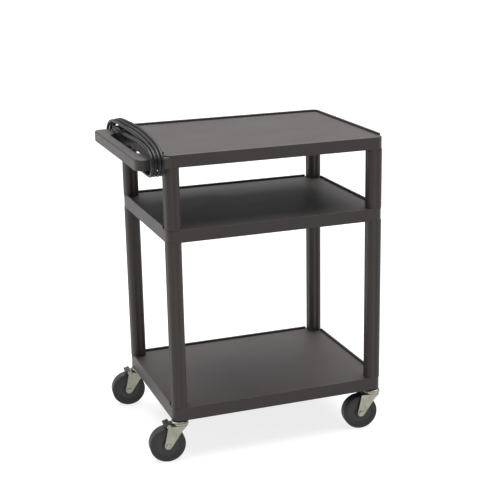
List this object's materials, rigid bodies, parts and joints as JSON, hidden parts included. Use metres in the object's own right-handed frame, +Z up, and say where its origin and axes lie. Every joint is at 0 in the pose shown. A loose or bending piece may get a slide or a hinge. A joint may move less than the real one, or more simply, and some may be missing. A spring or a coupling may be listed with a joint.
{
  "type": "rolling utility cart",
  "caption": "Rolling cart: moulded shelves on hollow posts, push handle on one end with an outlet cord wound round it, swivel casters with toe brakes.",
  "frame": {"origin": "on the floor, under the middle of the whole cart, push handle included and cord left out", "axes": "+Z up; +X along the length, away from the push handle; +Y from the front to the back"},
  "size_m": [0.688, 0.512, 0.8788],
  "materials": {
    "moulded_plastic": "moulded structural-foam plastic, fine pebble grain",
    "zinc_steel": "bright zinc plate",
    "tyre_rubber": "dark grey non-marking rubber",
    "hub_plastic": "dark grey moulded plastic",
    "outlet_black": "black moulded plastic",
    "receptacle_plastic": "smooth dark plastic",
    "contact_brass": "bright brass",
    "cord_black": "black vinyl jacket, slight sheen"
  },
  "bodies": {
    "cart": {"top_shelf": "moulded_plastic", "middle_shelf": "moulded_plastic", "bottom_shelf": "moulded_plastic", "caster_sockets": "zinc_steel", "outlet_housing": "outlet_black", "outlet_faceplate": "outlet_black", "receptacles": "receptacle_plastic", "contact_strips": "contact_brass", "outlet_screws": "zinc_steel", "strain_relief": "cord_black", "cord_lead": "cord_black", "cord_hank": "cord_black", "plug_body": "cord_black", "plug_prongs": "contact_brass", "upper_post_front_left": "moulded_plastic", "upper_post_front_right": "moulded_plastic", "upper_post_back_left": "moulded_plastic", "upper_post_back_right": "moulded_plastic", "lower_post_front_left": "moulded_plastic", "lower_post_front_right": "moulded_plastic", "lower_post_back_left": "moulded_plastic", "lower_post_back_right": "moulded_plastic", "caster_stem_front_left": "zinc_steel", "caster_stem_front_right": "zinc_steel", "caster_stem_back_left": "zinc_steel", "caster_stem_back_right": "zinc_steel"},
    "swivel_front_left": {"fork_front_left": "zinc_steel", "swivel_balls_front_left": "zinc_steel", "axle_bolt_front_left": "zinc_steel", "axle_nut_front_left": "zinc_steel", "axle_sleeve_front_left": "zinc_steel", "brake_pin_front_left": "zinc_steel"},
    "wheel_front_left": {"tyre_front_left": "tyre_rubber", "wheel_hub_front_left": "hub_plastic"},
    "brake_front_left": {"brake_pedal_front_left": "hub_plastic"},
    "swivel_front_right": {"fork_front_right": "zinc_steel", "swivel_balls_front_right": "zinc_steel", "axle_bolt_front_right": "zinc_steel", "axle_nut_front_right": "zinc_steel", "axle_sleeve_front_right": "zinc_steel"},
    "wheel_front_right": {"tyre_front_right": "tyre_rubber", "wheel_hub_front_right": "hub_plastic"},
    "swivel_back_left": {"fork_back_left": "zinc_steel", "swivel_balls_back_left": "zinc_steel", "axle_bolt_back_left": "zinc_steel", "axle_nut_back_left": "zinc_steel", "axle_sleeve_back_left": "zinc_steel", "brake_pin_back_left": "zinc_steel"},
    "wheel_back_left": {"tyre_back_left": "tyre_rubber", "wheel_hub_back_left": "hub_plastic"},
    "brake_back_left": {"brake_pedal_back_left": "hub_plastic"},
    "swivel_back_right": {"fork_back_right": "zinc_steel", "swivel_balls_back_right": "zinc_steel", "axle_bolt_back_right": "zinc_steel", "axle_nut_back_right": "zinc_steel", "axle_sleeve_back_right": "zinc_steel"},
    "wheel_back_right": {"tyre_back_right": "tyre_rubber", "wheel_hub_back_right": "hub_plastic"}
  },
  "joints": [
    {"name": "swivel_front_left", "type": "hinge", "parent": "cart", "child": "swivel_front_left", "pos_m": [-0.24855, -0.2081, 0.1025], "axis": [0, 0, 1], "continuous": true},
    {"name": "wheel_spin_front_left", "type": "hinge", "parent": "swivel_front_left", "child": "wheel_front_left", "pos_m": [-0.28435, -0.20434, 0.049], "axis": [0.1045, 0.9945, 0], "continuous": true},
    {"name": "brake_front_left", "type": "hinge", "parent": "swivel_front_left", "child": "brake_front_left", "pos_m": [-0.28137, -0.20465, 0.104], "axis": [-0.1045, -0.9945, 0], "range_deg": [0, 16]},
    {"name": "swivel_front_right", "type": "hinge", "parent": "cart", "child": "swivel_front_right", "pos_m": [0.32005, -0.2081, 0.1025], "axis": [0, 0, 1], "continuous": true},
    {"name": "wheel_spin_front_right", "type": "hinge", "parent": "swivel_front_right", "child": "wheel_front_right", "pos_m": [0.28425, -0.20434, 0.049], "axis": [0.1045, 0.9945, 0], "continuous": true},
    {"name": "swivel_back_left", "type": "hinge", "parent": "cart", "child": "swivel_back_left", "pos_m": [-0.24855, 0.2081, 0.1025], "axis": [0, 0, 1], "continuous": true},
    {"name": "wheel_spin_back_left", "type": "hinge", "parent": "swivel_back_left", "child": "wheel_back_left", "pos_m": [-0.28435, 0.21186, 0.049], "axis": [0.1045, 0.9945, 0], "continuous": true},
    {"name": "brake_back_left", "type": "hinge", "parent": "swivel_back_left", "child": "brake_back_left", "pos_m": [-0.28137, 0.21155, 0.104], "axis": [-0.1045, -0.9945, 0], "range_deg": [0, 16]},
    {"name": "swivel_back_right", "type": "hinge", "parent": "cart", "child": "swivel_back_right", "pos_m": [0.32005, 0.2081, 0.1025], "axis": [0, 0, 1], "continuous": true},
    {"name": "wheel_spin_back_right", "type": "hinge", "parent": "swivel_back_right", "child": "wheel_back_right", "pos_m": [0.28425, 0.21186, 0.049], "axis": [0.1045, 0.9945, 0], "continuous": true}
  ]
}
